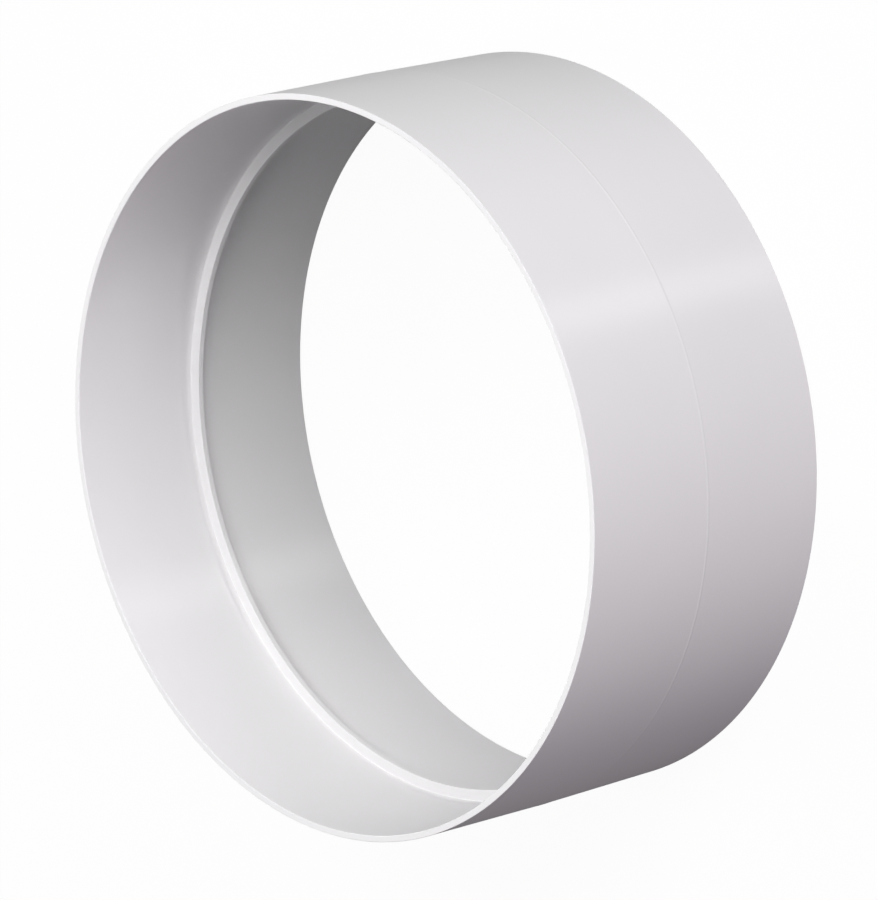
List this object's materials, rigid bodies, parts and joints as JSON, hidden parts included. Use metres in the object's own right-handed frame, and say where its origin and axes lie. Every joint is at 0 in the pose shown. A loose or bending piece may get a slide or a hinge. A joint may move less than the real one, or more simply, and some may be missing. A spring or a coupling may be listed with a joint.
{
  "type": "round duct connector",
  "caption": "Short round plastic sleeve that joins lengths of round ventilation duct end to end, with a socket at each end and a stop rib inside at mid-length.",
  "frame": {"origin": "centre of the lower rim's circle, on the surface that the sleeve stands on", "axes": "+Z along the sleeve's axis, upwards; the sleeve is round, so X and Y are any two directions across it"},
  "size_m": [0.1544, 0.1544, 0.0634],
  "materials": {
    "white_plastic": "satin moulded white"
  },
  "bodies": {
    "root": {"duct_connector": "white_plastic"}
  },
  "joints": []
}
